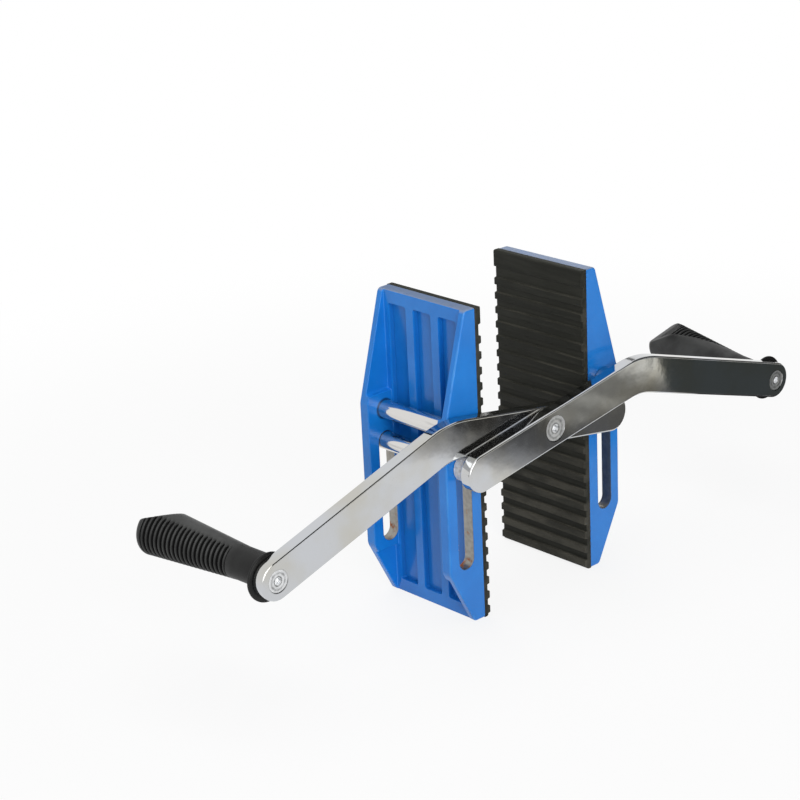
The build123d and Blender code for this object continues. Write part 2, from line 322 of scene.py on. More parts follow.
@dataclass(frozen=True)
class CastPaint:
    """Glossy blue paint on a casting.

    It has painted shade in the sunk panels and round the holes and slot edges, is rubbed thin on the
    rims, dusty with painted sheen on top, and bare in the slots, where the left jaw's metal is rusty.
    """

    blue: Colour = (0.010, 0.205, 0.660)
    deep: Colour = (0.007, 0.175, 0.590)
    rubbed: Colour = (0.070, 0.300, 0.660)
    # pale grey of the dust and the painted sheen on the tops
    dust: Colour = (0.210, 0.230, 0.260)
    # colour of the painted contact shade round the holes and slot edges
    grime: Colour = (0.004, 0.014, 0.040)
    # colour of the painted shade in the sunk panels
    shade: Colour = (0.006, 0.120, 0.420)
    metal: Colour = (0.350, 0.335, 0.305)
    tarnish: Colour = (0.190, 0.190, 0.180)
    rust: Colour = (0.330, 0.110, 0.035)
    rim: float = 1.9 * MM
    panel_pitch: float = 25.83 * MM
    panel_half: float = 9.17 * MM
    panel_band: float = 10.0 * MM
    panel_plane: float = 7.5 * MM
    panel_share: float = 0.35

    def sunk_panels(self, slot: SlotPlace, beside: Signal, y: Signal, z: Signal) -> Signal:
        """Share of painted shade in the sunk panels, most along their borders and near sides.

        Args:
            slot: place of the slots; the panels lie in a plane beside their line.
            beside: distance outwards from that line.
            y: depth of the point.
            z: height of the point.

        Returns:
            The share, 0 outside the panels.
        """
        off = y - slot.middle
        lane = off.math("WRAP", off, self.panel_pitch / 2.0, -self.panel_pitch / 2.0)
        from_end = (z - self.panel_band).least(slot.top - self.panel_band - z)
        inset = (self.panel_half - abs(lane)).least(from_end)
        between = abs(off).fall(slot.cheek - MM, slot.cheek - 0.5 * MM)
        inside = between * inset.rise(0.0, 0.3 * MM)
        behind = beside.fall(-self.panel_plane - MM, -self.panel_plane)
        border = inset.rise(0.7 * MM, 1.9 * MM, self.panel_share, 0.0)
        near = lane.rise(-self.panel_half, 4.5 * MM - self.panel_half, self.panel_share, 0.0)
        return (self.panel_share + border + near) * inside * behind

    def material(self, slot: SlotPlace) -> bpy.types.Material:
        """Makes the finish.

        Args:
            slot: place of the slots, whose walls are bare, and of the holes; shade is painted round both.

        Returns:
            The material of both jaws.
        """
        material, g = new_material("blue_cast_paint")
        at = g.point()
        x, y, z = g.split(at)
        across = abs(y - slot.middle)
        facing = g.facing()
        sideways = abs(facing[1])
        clouds = g.noise(at, 38.0, 4.0, 0.55)
        specks = g.noise(at, 520.0, 3.0, 0.6)

        beside = abs(x) - slot.x
        below = z - z.most(slot.low).least(slot.high)
        gap = (beside * beside + below * below) ** 0.5
        above = z - slot.hole
        hole_gap = (beside * beside + above * above) ** 0.5
        on_cheek = across.rise(slot.cheek - 0.4 * MM, slot.cheek + 0.1 * MM)
        chips = specks.rise(0.62, 0.76) * (0.7 * MM)
        wall = sideways.fall(0.3, 0.7) * 0.3 * MM
        bare = (gap - chips - wall).fall(slot.radius - 0.05 * MM, slot.radius + 0.1 * MM)
        bare = bare * on_cheek
        sunk = z.rise(slot.low, slot.low + 30 * MM, 0.09, 0.0)
        on_left = x.fall(-MM, MM)
        rusty = (g.noise(at, 120.0, 4.0, 0.65) + sunk).rise(0.60, 0.72) * bare * on_left
        # painted contact shade: a dark ring round each rod hole and a thin dark outline round the slots
        painted_edge_shade = hole_gap.rise(slot.radius, slot.radius + 1.5 * MM, 0.85, 0.0)
        painted_edge_shade = painted_edge_shade.most(gap.rise(slot.radius, slot.radius + 0.9 * MM, 0.45, 0.0)) * on_cheek

        rounding = sideways * (1.0 - sideways) * 4.0
        rubbing = rounding * across.rise(JAW_HALF_WIDTH - self.rim, JAW_HALF_WIDTH - 0.6 * self.rim)
        rubbing = rubbing * (0.25 + 0.75 * clouds.rise(0.35, 0.65))
        # dust and painted sheen: up-facing tops turn paler grey, as dust and as the sheen of light on them
        dust_and_sheen = facing[2].rise(0.35, 0.9) * (0.55 + 0.4 * g.noise(at, 110.0, 4.0, 0.6))
        dust_and_sheen = dust_and_sheen * z.rise(slot.top - 9 * MM, slot.top - 5 * MM)

        paint = g.mix(clouds.rise(0.3, 0.75), self.deep, self.blue)
        # painted shade: the sunk panels get a deeper blue, as if their walls shaded them
        paint = g.mix(self.sunk_panels(slot, beside, y, z), paint, self.shade)
        paint = g.mix(rubbing * 0.5, paint, self.rubbed)
        paint = g.mix(dust_and_sheen, paint, self.dust)
        paint = g.mix(painted_edge_shade, paint, self.grime)
        metal = g.mix(g.noise(at, 300.0).rise(0.3, 0.7) * 0.5, self.metal, self.tarnish)
        metal = g.mix(rusty, metal, self.rust)
        colour = g.mix(bare, paint, metal)
        gloss = 0.20 + 0.08 * g.noise(at, 90.0) + 0.10 * rubbing + 0.25 * dust_and_sheen
        roughness = gloss * (1.0 - bare) + bare * (0.34 + 0.35 * rusty)
        skin = g.bump(g.noise(at, 650.0, 2.0), 0.02 * MM, 0.6)
        cast = g.bump(g.noise(at, 55.0, 2.0), 0.10 * MM, 1.0, skin)
        surface = g.shaded(
            Base_Color=colour,
            Metallic=bare * (1.0 - rusty) * 0.9,
            Roughness=roughness,
            Normal=cast,
            Coat_Weight=0.25 * (1.0 - bare),
            Coat_Roughness=0.10,
            Specular_IOR_Level=0.30,
        )
        g.close(surface)
        return material


@dataclass(frozen=True)
class Head:
    """A flush screw head in an arm's front face."""

    x: float
    z: float
    radius: float

    def polar(self, x: Signal, z: Signal) -> tuple[Signal, Signal]:
        """Place round the head.

        Args:
            x: place of the point across the clamp.
            z: height of the point.

        Returns:
            Distance from the middle in radii, and 1 below it to -1 above it, a little turned.
        """
        aside, above = x - self.x, z - self.z
        away = ((aside * aside + above * above) ** 0.5).most(0.1 * MM)
        return away / self.radius, (0.35 * aside - 0.94 * above) / away


@dataclass(frozen=True)
class BarPlace:
    """Where the arms bend, how they slope, and their screw heads."""

    elbow: float
    inner_turn: float
    handle_turn: float
    layer: float
    heads: tuple[Head, ...]


@dataclass(frozen=True)
class BrightPlating:
    """Bright plating on a hand-polished flat bar.

    It is wavy at the bend, cloudy on the inner half and finely scratched along the bar.
    """

    silver: Colour = (0.570, 0.585, 0.610)
    warm: Colour = (0.540, 0.530, 0.490)
    stain: Colour = (0.300, 0.300, 0.290)
    # colour of the painted shade and grime round the lower edges of the screw heads
    grime: Colour = (0.030, 0.030, 0.030)
    wave: float = 0.30 * MM
    ripple: float = 0.03 * MM

    def material(self, bar: BarPlace) -> bpy.types.Material:
        """Makes the finish.

        Args:
            bar: place of the bends, and of the screw heads, with painted shade and grime round their lower edges.

        Returns:
            The material of both arms.
        """
        material, g = new_material("bright_bar_plating")
        at = g.point()
        x, y, z = g.split(at)
        on_handle = abs(x).rise(bar.elbow - 8 * MM, bar.elbow + 8 * MM)
        at_bend = abs(abs(x) - bar.elbow).fall(10 * MM, 45 * MM)
        worked = abs(x).rise(bar.elbow - 2 * MM, bar.elbow + 14 * MM, 1.0, 0.12)
        leftward = y.rise(bar.layer - 0.2 * MM, bar.layer + 0.2 * MM)
        strokes = []
        for turn in (bar.inner_turn, bar.handle_turn):
            right = g.stretched(at, turn, 45.0, 1600.0)
            left = g.stretched(at, -turn, 45.0, 1600.0)
            strokes.append(right * (1.0 - leftward) + left * leftward)
        drawn = strokes[0] * (1.0 - on_handle) + strokes[1] * on_handle
        scratches = drawn.rise(0.66, 0.74)
        clouds = g.noise(at, 24.0, 3.0, 0.5)
        haze = g.noise(at, 85.0, 4.0, 0.6)
        pits = g.noise(at, 420.0, 4.0, 0.7).rise(0.68, 0.78)

        # painted shade and grime: dark arcs round the lower edges of the screw heads
        rings = []
        for head in bar.heads:
            away, lower = head.polar(x, z)
            rings.append(away.fall(1.04, 1.13) * lower.rise(0.2, 0.95, 0.15, 0.9))
        painted_edge_shade = total(rings)

        colour = g.mix(clouds.rise(0.35, 0.7), self.silver, self.warm)
        colour = g.mix(pits * 0.5, colour, self.stain)
        colour = g.mix(painted_edge_shade, colour, self.grime)
        cloudy = 0.05 * haze.rise(0.35, 0.75) + 0.04 * clouds
        roughness = 0.055 + cloudy * worked + 0.03 * scratches + 0.10 * pits
        waves = g.noise(at, 26.0, 2.0, 0.5) * (0.55 + 0.35 * at_bend) * worked
        wavy = g.bump(waves, self.wave, 1.0)
        uneven = g.noise(at, 95.0, 2.0, 0.5) * (0.6 + 0.6 * worked + 0.4 * at_bend)
        rippled = g.bump(uneven, self.ripple, 1.0, wavy)
        lines = g.bump(1.0 - scratches, 0.003 * MM, 0.4, rippled)
        pitted = g.bump(1.0 - pits, 0.006 * MM, 0.5, lines)
        surface = g.shaded(Base_Color=colour, Metallic=1.0, Roughness=roughness, Normal=pitted)
        g.close(surface)
        return material


@dataclass(frozen=True)
class RodChrome:
    """Hard chrome on ground round bar, with fine rings left by turning and faint rubbing."""

    bright: Colour = (0.680, 0.670, 0.650)
    dull: Colour = (0.420, 0.412, 0.400)

    def material(self) -> bpy.types.Material:
        """Makes the finish.

        Returns:
            The material of the rods and of the right collar.
        """
        material, g = new_material("ground_rod_chrome")
        at = g.point()
        x, y, z = g.split(at)
        rings = g.noise(g.join(x * 60.0, y * 2400.0, z * 60.0), 1.0, 3.0, 0.6)
        rubs = g.noise(g.join(x * 420.0, y * 18.0, z * 420.0), 1.0, 3.0, 0.6)
        colour = g.mix(rubs.rise(0.5, 0.8) * 0.6, self.bright, self.dull)
        roughness = 0.07 + 0.12 * rubs.rise(0.45, 0.8) + 0.05 * rings
        turned = g.bump(rings, 0.006 * MM, 0.5)
        surface = g.shaded(Base_Color=colour, Metallic=1.0, Roughness=roughness, Normal=turned)
        g.close(surface)
        return material


@dataclass(frozen=True)
class ZincSteel:
    """Cloudy zinc on screws, nuts, washers and rings; heads get dark rings of painted reflection and grime, and a
    painted glint.
    """

    name: str = "pale_zinc"
    pale: Colour = (0.800, 0.810, 0.820)
    grey: Colour = (0.560, 0.570, 0.580)
    # colour of the dark rings on the heads: painted reflection bands, with grime
    grime: Colour = (0.090, 0.095, 0.095)
    # colour of the painted glint in the heads' sockets
    glint: Colour = (0.900, 0.910, 0.920)
    metal: float = 1.0
    dullness: float = 0.28

    def material(self, bar: BarPlace) -> bpy.types.Material:
        """Makes the finish.

        Args:
            bar: place of the screw heads, which are turned in rings.

        Returns:
            The material of the fasteners.
        """
        material, g = new_material(self.name)
        at = g.point()
        x, _, z = g.split(at)
        clouds = g.noise(at, 260.0, 4.0, 0.6)
        grains = g.noise(at, 1500.0, 2.0)
        rings, socket_glints = [], []
        for head in bar.heads:
            away = head.polar(x, z)[0]
            outer = away.rise(0.60, 0.70) * away.fall(0.78, 0.86)
            inner = away.rise(0.34, 0.38) * away.fall(0.42, 0.50)
            rings.append(outer * 0.7 + inner)
            # painted glint: the socket in the middle of each head
            socket_glints.append(away.fall(0.31, 0.34))
        turned = total(rings)
        middle = total(socket_glints)
        colour = g.mix(clouds.rise(0.4, 0.75), self.pale, self.grey)
        # painted reflection and grime: the turned rings on the heads are darkened as reflected dark bands
        colour = g.mix(turned * (0.32 + 0.55 * clouds.rise(0.3, 0.7)), colour, self.grime)
        # painted glint: the sockets are painted pale
        colour = g.mix(middle, colour, self.glint)
        roughness = self.dullness + 0.16 * clouds + 0.06 * grains
        grooved = g.bump(1.0 - turned, 0.10 * MM, 1.0, g.bump(grains, 0.015 * MM, 0.6))
        # less metallic in the sockets, for the painted glint
        metallic = self.metal * (1.0 - 0.9 * middle)
        g.close(g.shaded(Base_Color=colour, Metallic=metallic, Roughness=roughness, Normal=grooved))
        return material


# pale dull zinc for the left collar only; the right collar takes rod chrome as painted shade
DULL_ZINC = ZincSteel("dull_zinc", (0.76, 0.74, 0.70), (0.52, 0.50, 0.47), metal=0.2, dullness=0.42)


@dataclass(frozen=True)
class PadRubber:
    """Dark brown-black moulded rubber, dusty and with a painted highlight on its ribs' upper edges, and with
    painted light in its grooves.
    """

    black: Colour = (0.0110, 0.0115, 0.0085)
    # colour of the rubber's bloom, also used to paint light into the grooves
    bloom: Colour = (0.0280, 0.0285, 0.0225)
    # pale grey of the dust, and of the painted highlight on the rib flanks
    dust: Colour = (0.090, 0.084, 0.068)

    def material(self, slot: SlotPlace) -> bpy.types.Material:
        """Makes the finish.

        Args:
            slot: place of the jaws' middle and top.

        Returns:
            The material of both pads.
        """
        material, g = new_material("ribbed_pad_rubber")
        at = g.point()
        x, y, z = g.split(at)
        clouds = g.noise(at, 60.0, 4.0, 0.6)
        grains = g.noise(at, 900.0, 3.0, 0.6)
        drawn = g.noise(g.join(x * 300.0, y * 25.0, z * 300.0), 1.0, 3.0, 0.6)
        edge = abs(y - slot.middle).rise(JAW_HALF_WIDTH - 1.2 * MM, JAW_HALF_WIDTH - 0.2 * MM)
        depth, up = g.mark("depth"), g.facing()[2]
        lower = z.fall(45 * MM, 150 * MM)
        smears = g.noise(g.join(x * 90.0, y * 30.0, z * 90.0), 1.0, 4.0, 0.6).rise(0.35, 0.7)
        # dust and painted highlight: the up-facing rib flanks are lightened, as dust and as the light they catch
        flanks = up.rise(0.5, 0.95) * z.fall(slot.top - 4 * MM, slot.top - 2 * MM)
        dust_and_sheen = flanks * (0.12 + 0.5 * drawn.rise(0.4, 0.75))
        dust_and_sheen = dust_and_sheen + edge * 0.35 * clouds.rise(0.42, 0.66)
        dust_and_sheen = dust_and_sheen + lower * (1.0 - depth) * (0.1 + 0.45 * smears)
        # bloom on drawn streaks, and painted light: the grooves above the foot are lightened to offset their shade
        bloom_and_painted_light = drawn.rise(0.35, 0.75) * 0.55 + depth * 0.45 * (1.0 - lower)
        colour = g.mix(bloom_and_painted_light, self.black, self.bloom)
        colour = g.mix(dust_and_sheen, colour, self.dust)
        roughness = 0.52 + 0.18 * clouds + 0.10 * grains
        skin = g.bump(grains, 0.05 * MM, 0.6)
        worn = g.bump(drawn, 0.08 * MM, 0.5, skin)
        surface = g.shaded(
            Base_Color=colour, Roughness=roughness, Normal=worn, Specular_IOR_Level=0.22
        )
        g.close(surface)
        return material


@dataclass(frozen=True)
class GripRubber:
    """Satin black moulded rubber of the grips, finely grained, greyer on ribs that hands polish."""

    black: Colour = (0.003, 0.003, 0.003)
    worn: Colour = (0.030, 0.031, 0.030)

    def material(self) -> bpy.types.Material:
        """Makes the finish: satin on the ribs, and flat black in the grooves between them as painted shade.

        Returns:
            The material of both grips.
        """
        material, g = new_material("satin_grip_rubber")
        at = g.point()
        clouds = g.noise(at, 45.0, 4.0, 0.6)
        grains = g.noise(at, 1300.0, 3.0, 0.6)
        handled = g.mark("handled")
        polished = (0.3 + 0.7 * clouds.rise(0.38, 0.64)) * (0.2 + 0.8 * handled)
        colour = g.mix(polished, self.black, self.worn)
        skin = g.bump(grains, 0.03 * MM, 0.6)
        roughness = 0.33 + 0.10 * clouds + 0.06 * grains
        satin = g.shaded(
            Base_Color=colour, Roughness=roughness, Normal=skin, Specular_IOR_Level=0.40
        )
        black = (*self.black, 1.0)
        flat = g.shaded(Base_Color=black, Roughness=0.75, Normal=skin, Specular_IOR_Level=0.06)
        # painted shade: the grooves take the flat black, and parts that hands don't reach take 0.35 of it
        painted_groove_shade = g.mark("depth").rise(0.0, 0.7).most(0.35 * (1.0 - handled))
        g.close(g.blend(painted_groove_shade, satin, flat))
        return material


def put(name: str, data: bpy.types.ID) -> bpy.types.Object:
    """Adds an object to the scene.

    Args:
        name: name of the object.
        data: its mesh, lamp or camera.

    Returns:
        The new object.
    """
    made = bpy.data.objects.new(name, data)
    bpy.context.scene.collection.objects.link(made)
    return made


def surface_mesh(
    name: str, points: np.ndarray, closed: bool = False, **marks: np.ndarray
) -> bpy.types.Object:
    """Puts a grid of points into a mesh object at the origin.

    Row i and column j meet in the face (i, j), (i + 1, j), (i + 1, j + 1), (i, j + 1). Points that
    fall together, as at a pole, are merged, and the faces are turned outwards.

    Args:
        name: name of the piece.
        points: array of rows by columns by 3, in metres.
        closed: whether the last column joins the first.
        marks: numbers from 0 to 1 for every point, kept under their names for the finish.

    Returns:
        The new object.
    """
    rows, columns = points.shape[:2]
    ids = np.arange(rows * columns).reshape(rows, columns)
    if closed:
        ids = np.hstack([ids, ids[:, :1]])
    corners = [ids[:-1, :-1], ids[1:, :-1], ids[1:, 1:], ids[:-1, 1:]]
    faces = np.stack(corners, axis=-1).reshape(-1, 4)
    mesh = bpy.data.meshes.new(name)
    mesh.from_pydata(points.reshape(-1, 3), [], faces)
    for mark, values in marks.items():
        kept = mesh.attributes.new(mark, "FLOAT", "POINT")
        spread = np.broadcast_to(values, (rows, columns)).astype(np.float32)
        kept.data.foreach_set("value", spread.ravel())
    tidy_mesh(mesh)
    return put(name, mesh)


def tidy_mesh(mesh: bpy.types.Mesh) -> None:
    """Merges points that fall together, drops empty faces, turns faces outwards and smooths them.

    Args:
        mesh: the mesh, which is changed in place.
    """
    work = bmesh.new()
    work.from_mesh(mesh)
    bmesh.ops.remove_doubles(work, verts=work.verts, dist=SAME_POINT)
    bmesh.ops.dissolve_degenerate(work, edges=work.edges, dist=NO_LENGTH)
    bmesh.ops.recalc_face_normals(work, faces=work.faces)
    work.to_mesh(mesh)
    work.free()
    mesh.shade_smooth()


def ramp(value: np.ndarray, low: float, high: float) -> np.ndarray:
    """Smooth step from 0 at low to 1 at high: t * t * (3 - 2 t) of the clipped share t."""
    share = np.clip((value - low) / (high - low), 0.0, 1.0)
    return share * share * (3.0 - 2.0 * share)


def body_of(node: str) -> str:
    """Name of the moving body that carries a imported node."""
    bodies = frame["record"]["behaviour"]["bodies"]
    return next(body for body, members in bodies.items() if node in members)


def dress(node: str, material: bpy.types.Material) -> None:
    """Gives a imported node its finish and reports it.

    Args:
        node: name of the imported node.
        material: its finish.
    """
    for place in frame["nodes"][node].material_slots:
        place.material = material
    log.info("%s: %s", node, material.name)


def stand_in(piece: bpy.types.Object, node: str, material: bpy.types.Material) -> None:
    """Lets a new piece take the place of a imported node.

    Args:
        piece: the new piece, in its place.
        node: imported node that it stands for.
        material: finish of the piece.
    """
    piece.data.materials.append(material)
    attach(piece, body_of(node))
    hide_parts(node)
    log.info("%s: built for %s with %d faces", piece.name, node, len(piece.data.polygons))


@dataclass
class Jaw:
    """One jaw: its painted casting and its ribbed rubber pad."""

    side: Side
    ribs: int = 19
    rib_height: float = 2.2 * MM
    rib_width: float = 5.7 * MM
    rib_soft: float = 0.7 * MM
    foot: float = 5.0 * MM
    head: float = 13.0 * MM
    edge_round: float = 0.5 * MM
    end_round: float = 1.2 * MM
    profile_points: int = 800
    strips: int = 48
    corner_points: int = 5

    def dress(self, paint: bpy.types.Material) -> None:
        """Paints the casting."""
        dress(f"{self.side.word}_jaw", paint)

    def pad_height(self, z: np.ndarray, low: float, high: float) -> np.ndarray:
        """Height of the pad's face above the bottom of its grooves.

        Ribs stand at equal pitch, the lowest with its middle at the foot, up to the plain band at
        the head; each is a smooth step up and down across its two flanks. Both ends of the pad are
        rounded by a quarter circle.

        Args:
            z: heights of the points.
            low: bottom of the pad.
            high: top of the pad.

        Returns:
            Heights up to the rib height.
        """
        pitch = (high - low - self.head - self.foot) / self.ribs
        lane = (z - low - self.foot + pitch / 2.0) % pitch - pitch / 2.0
        off = np.abs(lane) - self.rib_width / 2.0
        off = np.where(z > high - self.head - pitch / 2.0, high - self.head - z, off)
        step = 1.0 - ramp(off, -self.rib_soft / 2.0, self.rib_soft / 2.0)
        near_end = np.clip(1.0 - np.minimum(z - low, high - z) / self.end_round, 0.0, 1.0)
        return self.rib_height * step - self.end_round * (1.0 - np.sqrt(1.0 - near_end**2))

    def build_pad(self, rubber: bpy.types.Material) -> None:
        """Builds the pad as a ribbed profile carried across the jaw.

        The profile runs up the ribbed face and down the flat back. At both sides it shrinks by the
        edge round along a quarter circle, and the last ring closes on the profile's middle line.

        Args:
            rubber: finish of the pad.
        """
        node = f"{self.side.word}_pad"
        low, high = (np.array(corner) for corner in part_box(node))
        outward = -float(self.side.value)
        back = high[0] if self.side is Side.RIGHT else low[0]
        depth = high[0] - low[0]
        z = np.linspace(low[2], high[2], self.profile_points)
        face = depth - self.rib_height + self.pad_height(z, low[2], high[2])
        share = np.linspace(0.0, 1.0, self.strips)
        turn = np.linspace(0.0, pi / 2.0, self.corner_points)
        inset = self.edge_round * (1.0 - np.cos(turn))
        y_end = self.edge_round * np.sin(turn)
        near = low[1] + self.edge_round - y_end[::-1]
        far = high[1] - self.edge_round + y_end
        between = near[-1] + share[1:-1] * (far[0] - near[-1])
        y = np.concatenate([near[:1], near, between, far, far[-1:]])
        shrink = np.concatenate([[np.inf], inset[::-1], np.zeros(self.strips - 2), inset, [np.inf]])

        front_depth = np.maximum(face[None, :] - shrink[:, None], face[None, :].min() / 2.0)
        back_depth = np.zeros_like(front_depth)
        back_depth[[0, -1], :] = front_depth[[0, -1], :]
        along = np.broadcast_to(z, front_depth.shape)
        loop_depth = np.concatenate([front_depth, back_depth[:, ::-1]], axis=1)
        loop_z = np.concatenate([along, along[:, ::-1]], axis=1)
        loop_y = np.broadcast_to(y[:, None], loop_z.shape)
        points = np.stack([back + outward * loop_depth, loop_y, loop_z], axis=-1)
        sunk = np.clip((depth - loop_depth) / self.rib_height, 0.0, 1.0)
        pad = surface_mesh(f"{self.side.word}_pad_rubber", points, closed=True, depth=sunk)
        stand_in(pad, node, rubber)


@dataclass(frozen=True)
class ArmFinishes:
    """The finishes of an arm and of what it carries."""

    bar: bpy.types.Material
    rods: bpy.types.Material
    # finish of the left collar only; the right collar takes the rods' finish as painted shade
    collar: bpy.types.Material
    fasteners: bpy.types.Material


@dataclass
class Arm:
    """One arm with the rods, collars, washers and rings that it carries."""

    side: Side

    def dress(self, finishes: ArmFinishes) -> None:
        """Finishes the bar, its round parts and its fasteners.

        Args:
            finishes: what each of them gets.
        """
        word = self.side.word
        dress(f"{word}_arm", finishes.bar)
        # lit and shaded copies of one part: the left collar gets pale dull zinc, the right one, in the jaw's
        # shade, rod chrome
        dress(f"{word}_collar", finishes.collar if self.side is Side.LEFT else finishes.rods)
        for part in ("upper_rod", "lower_rod"):
            dress(f"{word}_{part}", finishes.rods)
        for part in ("washer", "ring", "grip_screw", "spindle"):
            dress(f"{word}_{part}", finishes.fasteners)


@dataclass
class Grip:
    """One rubber grip: flange, smooth neck, and a leaning, flared, ribbed body with a bevel."""

    side: Side
    flange_radius: float = 17.6 * MM
    flange_thick: float = 2.2 * MM
    flange_round: float = 0.8 * MM
    neck_radius: float = 12.1 * MM
    neck_length: float = 26.3 * MM
    neck_fillet: float = 0.5 * MM
    end_radius: float = 18.7 * MM
    end_round: float = 5.0 * MM
    inset: float = 5.0 * MM
    flare: float = 13.2 * MM
    climb: float = 5.0 * MM
    bevel_angle: float = radians(23.5)
    bevel_turn: float = radians(15.0)
    bevel_offset: float = 6.8 * MM
    bevel_soft: float = 1.6 * MM
    ribs: int = 20
    rib_depth: float = 1.7 * MM
    rib_margin: float = 5.8 * MM
    rib_stop: float = 0.5 * MM
    neck_spread: float = radians(114.0)
    end_spread: float = radians(112.0)
    rib_fade: float = radians(14.0)
    left_rib_turn: float = radians(-38.0)
    right_rib_turn: float = radians(20.0)
    right_border: tuple[float, float] = (radians(44.0), radians(129.0))
    handled_from: float = -4.0 * MM
    handled_full: float = 8.0 * MM
    bore_radius: float = 6.05 * MM
    bore_depth: float = 100.0 * MM
    sides: int = 160
    steps: int = 420
    corner_points: int = 9
    crown_rings: int = 14
    crown_share: float = 0.94

    def outline(self, length: float) -> tuple[np.ndarray, np.ndarray, np.ndarray]:
        """Half section of the sleeve without its ribs.

        Runs from the bottom of the bore out to the arm's face, over the flange, along the neck and
        the flared body, and round the end to the axis. Corners are quarter circles.

        Args:
            length: length of the grip along its axis.

        Returns:
            Distances from the arm, radii, and stretch: 0 in the bore, 1 on the flange, 2 beyond.
        """
        quarter = np.linspace(0.0, pi / 2.0, self.corner_points)
        start = self.flange_thick + self.neck_length
        f, n, e = self.flange_round, self.neck_fillet, self.end_round
        deep, wide, thick = self.bore_depth, self.bore_radius, self.flange_thick
        bore = [(deep, 0.0), (deep, wide), (0.0, wide)]
        lower = [(f - f * cos(t), self.flange_radius - f + f * sin(t)) for t in quarter]
        upper = [(thick - f + f * sin(t), self.flange_radius - f + f * cos(t)) for t in quarter]
        root = [(thick + n - n * sin(t), self.neck_radius + n - n * cos(t)) for t in quarter[::-1]]
        slope = (self.end_radius - self.neck_radius) / (length - start)
        stations = np.linspace(start, length - e, self.steps)
        swell = [(y, self.neck_radius + slope * (y - start)) for y in stations]
        rim = self.neck_radius + slope * (length - e - start)
        end = [(length - e + e * sin(t), rim - e * (1.0 - cos(t))) for t in quarter[1:]]
        shares = np.linspace(self.crown_share, 0.0, self.crown_rings)
        crown = [(length, share * (rim - e)) for share in shares]
        flange, body = lower + upper, root + swell + end + crown
        section = np.array(bore + flange + body)
        stretch = np.repeat([0, 1, 2], [len(bore), len(flange), len(body)])
        return section[:, 0], section[:, 1], stretch

    def rib_dip(self, along: np.ndarray, angle: np.ndarray, length: float) -> np.ndarray:
        """Depth of the grooves between the ribs.

        The dip is sin^2(pi c) across each rib's own share c from -0.5 to 0.5. The grooves fade out
        at an angle from the middle of the ribbed side that widens towards the grip's end. The upper
        border of the right grip's ribs slants, so that its ribs start further from the neck there.

        Args:
            along: distance from the arm.
            angle: angle from the middle of the ribbed side.
            length: length of the grip along its axis.

        Returns:
            The dip as a share of the ribs' full depth.
        """
        first = self.flange_thick + self.neck_length + self.rib_margin
        last = length - self.end_round - self.rib_stop
        share = (along - first) / (last - first)
        inside = (share > 0.0) & (share < 1.0)
        groove = np.where(inside, np.sin(pi * (share * self.ribs - 0.5)) ** 2, 0.0)
        even_border = (self.neck_spread, self.end_spread)
        upper_border = self.right_border if self.side is Side.RIGHT else even_border
        upper = np.interp(share, (0.0, 1.0), upper_border)
        lower = np.interp(share, (0.0, 1.0), even_border)
        past = np.maximum(angle - upper, -angle - lower)
        return groove * (1.0 - ramp(past, -self.rib_fade, 0.0))

    def bevel(self, points: np.ndarray, tip: np.ndarray) -> np.ndarray:
        """Flattens what stands above the bevel.

        With s the height above the bevel's plane and w the softness, points sink along the plane's
        normal by s where s > w, by (s + w)^2 / (4 w) where |s| <= w and by nothing below that.

        Args:
            points: array of points, in metres.
            tip: middle of the grip's end.

        Returns:
            The points with the bevel.
        """
        sign = float(self.side.value)
        aside = np.array([-sign * sin(self.bevel_turn), 0.0, cos(self.bevel_turn)])
        normal = aside * cos(self.bevel_angle) + np.array([0.0, sin(self.bevel_angle), 0.0])
        height = (points - tip - self.bevel_offset * aside) @ normal
        soft = self.bevel_soft
        eased = np.clip(height + soft, 0.0, None) ** 2 / (4.0 * soft)
        sink = np.where(height > soft, height, eased)
        return points - sink[..., None] * normal

    def build(self, rubber: bpy.types.Material) -> None:
        """Builds the sleeve as its section carried round an axis that leans outwards and up.

        The bore and the flange are round the grip's screw. The neck and the body are round the
        leaning axis, which starts inwards of the screw. Their rings turn square to it along the
        neck.

        Args:
            rubber: finish of the grip.
        """
        node = f"{self.side.word}_grip"
        low, high = (np.array(corner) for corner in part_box(node))
        foot = np.array(node_middle(f"{self.side.word}_grip_screw"))
        foot[1] = low[1]
        sign = float(self.side.value)
        full = high[1] - low[1]
        overhang = (self.end_radius - self.end_round) * np.hypot(self.flare, self.climb) / full
        length = full - overhang
        lean = np.array([sign * self.flare, self.climb]) / length
        along, radius, stretch = (part[:, None] for part in self.outline(length))
        angle = np.linspace(-pi, pi, self.sides, endpoint=False)[None, :]
        middle = self.left_rib_turn if self.side is Side.LEFT else self.right_rib_turn
        turned = (angle - middle + pi) % (2.0 * pi) - pi
        leaning = stretch == 2
        dip = leaning * self.rib_dip(along, turned, length)
        reach = radius - self.rib_depth * dip
        tilt = leaning * ramp(along, self.flange_thick, self.flange_thick + self.neck_length)
        across = sign * reach * np.cos(angle)
        upward = reach * np.sin(angle)
        points = np.stack(
            [
                foot[0] + leaning * (lean[0] * along - sign * self.inset) + across,
                foot[1] + along - tilt * (lean[0] * across + lean[1] * upward),
                foot[2] + leaning * lean[1] * along + upward,
            ],
            axis=-1,
        )
        tip = foot + np.array([lean[0] * length - sign * self.inset, length, lean[1] * length])
        points = np.where(leaning[..., None], self.bevel(points, tip), points)
        start = self.flange_thick + self.neck_length
        handled = leaning * ramp(along, start + self.handled_from, start + self.handled_full)
        name = f"{self.side.word}_grip_rubber"
        grip = surface_mesh(name, points, closed=True, depth=dip, handled=handled)
        stand_in(grip, node, rubber)


